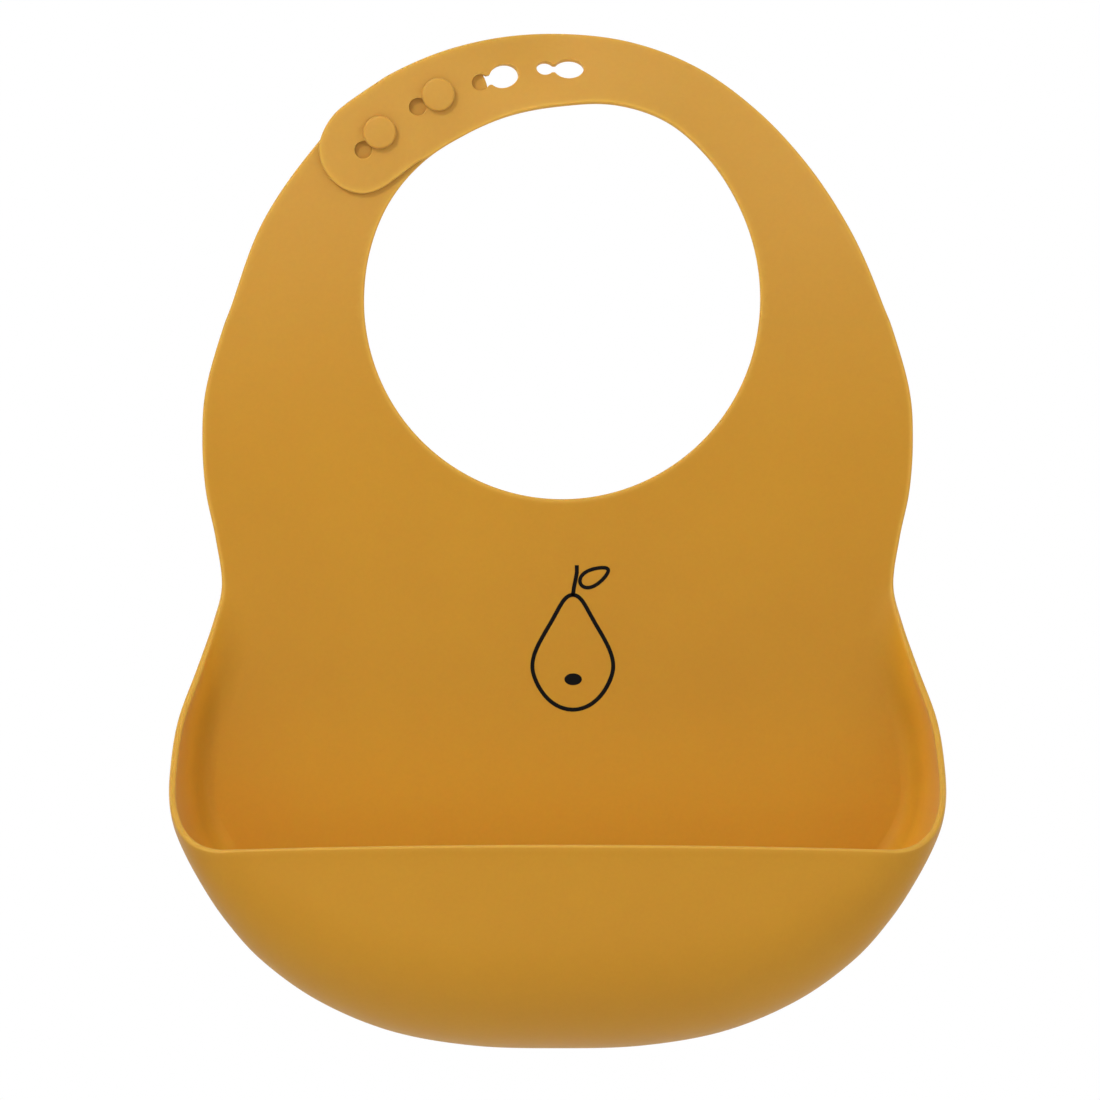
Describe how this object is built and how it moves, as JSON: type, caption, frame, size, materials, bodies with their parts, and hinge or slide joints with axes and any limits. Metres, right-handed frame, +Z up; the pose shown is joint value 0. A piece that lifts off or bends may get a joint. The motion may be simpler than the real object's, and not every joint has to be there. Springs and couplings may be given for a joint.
{
  "type": "silicone bib",
  "caption": "Soft bib of one flexible sheet with a round neck opening, a strap that closes on studs through keyholes, and a scoop pocket along the bottom.",
  "frame": {"origin": "centre of the neck opening, in the middle of the chest sheet's thickness", "axes": "+Z up toward the top of the neck strap, -Y out of the front of the bib, +X to the right seen from the front"},
  "size_m": [0.23, 0.0737, 0.3015],
  "materials": {
    "silicone": "matte, smooth to the touch",
    "ink": "flat print"
  },
  "bodies": {
    "bib": {"chest_panel": "silicone", "side_wall_left": "silicone", "side_wall_right": "silicone", "pocket_floor": "silicone", "rim_bead_left": "silicone", "rim_bead_right": "silicone", "printed_outline": "ink", "printed_spot": "ink"},
    "pocket": {"pocket_scoop": "silicone", "pocket_lip": "silicone"},
    "stud_strap": {"stud_strap": "silicone", "stud_lower": "silicone", "stud_upper": "silicone"},
    "keyhole_strap": {"keyhole_strap": "silicone"},
    "strap_end": {"strap_end": "silicone"}
  },
  "joints": [
    {"name": "strap_lean", "type": "hinge", "parent": "bib", "child": "keyhole_strap", "pos_m": [0, 0.0008, 0.004], "axis": [-1, 0, 0], "range_deg": [-8, 60], "stiffness_Nm_per_rad": 0.3},
    {"name": "stud_strap_lean", "type": "hinge", "parent": "bib", "child": "stud_strap", "pos_m": [0, 0.0008, 0.004], "axis": [-1, 0, 0], "range_deg": [-8, 60], "stiffness_Nm_per_rad": 0.3},
    {"name": "strap_peel", "type": "hinge", "parent": "keyhole_strap", "child": "strap_end", "pos_m": [0.01942, 0.00657, 0.06773], "axis": [0.2192, 0.6061, 0.7646], "range_deg": [0, 110], "stiffness_Nm_per_rad": 0.05, "deforming": ["stud_lower", "stud_upper"]},
    {"name": "pocket_flex", "type": "hinge", "parent": "bib", "child": "pocket", "pos_m": [-0.0013, -0.002, -0.2], "axis": [1, 0, 0], "range_deg": [-20, 35], "stiffness_Nm_per_rad": 1, "deforming": ["side_wall_left", "side_wall_right", "pocket_floor", "rim_bead_left", "rim_bead_right"]}
  ],
  "couplings": [
    {"joint": "stud_strap_lean", "follows": "strap_lean", "ratio": 1}
  ]
}
